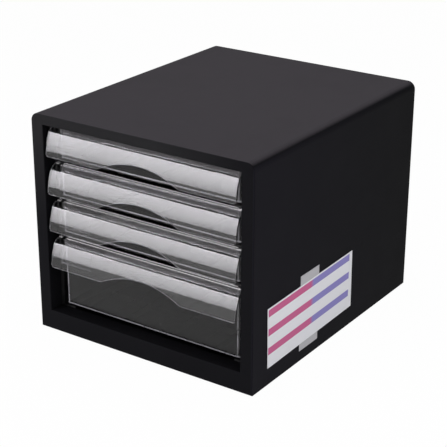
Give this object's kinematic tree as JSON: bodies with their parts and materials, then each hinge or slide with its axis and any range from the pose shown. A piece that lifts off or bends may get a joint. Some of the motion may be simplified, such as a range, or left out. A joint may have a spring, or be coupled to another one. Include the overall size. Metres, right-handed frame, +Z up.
{
  "type": "desktop drawer cabinet",
  "caption": "Desktop paper cabinet: a black box housing with shallow clear drawers over a deep clear drawer, each sliding out by a curved pull with a finger arch.",
  "frame": {"origin": "on the table, under the middle of the housing", "axes": "+Z up; the drawers open towards -Y; +X is the right side as seen from the front"},
  "size_m": [0.2807, 0.3321, 0.25],
  "materials": {
    "housing_black": "satin black moulding with a fine grain",
    "runner_black": "plain black moulding",
    "clear_plastic": "clear polystyrene, polished",
    "pad_rubber": "soft rubber disc",
    "screw_steel": "zinc-plated",
    "card_paper": "white card with plain printed stripes",
    "clear_tape": "translucent adhesive tape"
  },
  "bodies": {
    "cabinet": {"housing_shell": "housing_black", "front_frame": "housing_black", "back_panel": "housing_black", "base_panel": "housing_black", "left_runner_panel": "runner_black", "right_runner_panel": "runner_black", "base_screws": "screw_steel", "back_screws": "screw_steel", "foot_front_left": "pad_rubber", "foot_front_right": "pad_rubber", "foot_rear_left": "pad_rubber", "foot_rear_right": "pad_rubber", "index_card": "card_paper", "card_tape": "clear_tape"},
    "drawer_1": {"drawer_1_tray": "clear_plastic", "drawer_1_pull": "clear_plastic", "drawer_1_label_holder": "clear_plastic"},
    "drawer_2": {"drawer_2_tray": "clear_plastic", "drawer_2_pull": "clear_plastic", "drawer_2_label_holder": "clear_plastic"},
    "drawer_3": {"drawer_3_tray": "clear_plastic", "drawer_3_pull": "clear_plastic", "drawer_3_label_holder": "clear_plastic"},
    "drawer_4": {"drawer_4_tray": "clear_plastic", "drawer_4_pull": "clear_plastic", "drawer_4_label_holder": "clear_plastic"}
  },
  "joints": [
    {"name": "drawer_1_slide", "type": "slide", "parent": "cabinet", "child": "drawer_1", "axis": [0, -1, 0], "range_m": [0, 0.237]},
    {"name": "drawer_2_slide", "type": "slide", "parent": "cabinet", "child": "drawer_2", "axis": [0, -1, 0], "range_m": [0, 0.237]},
    {"name": "drawer_3_slide", "type": "slide", "parent": "cabinet", "child": "drawer_3", "axis": [0, -1, 0], "range_m": [0, 0.237]},
    {"name": "drawer_4_slide", "type": "slide", "parent": "cabinet", "child": "drawer_4", "axis": [0, -1, 0], "range_m": [0, 0.237]}
  ]
}
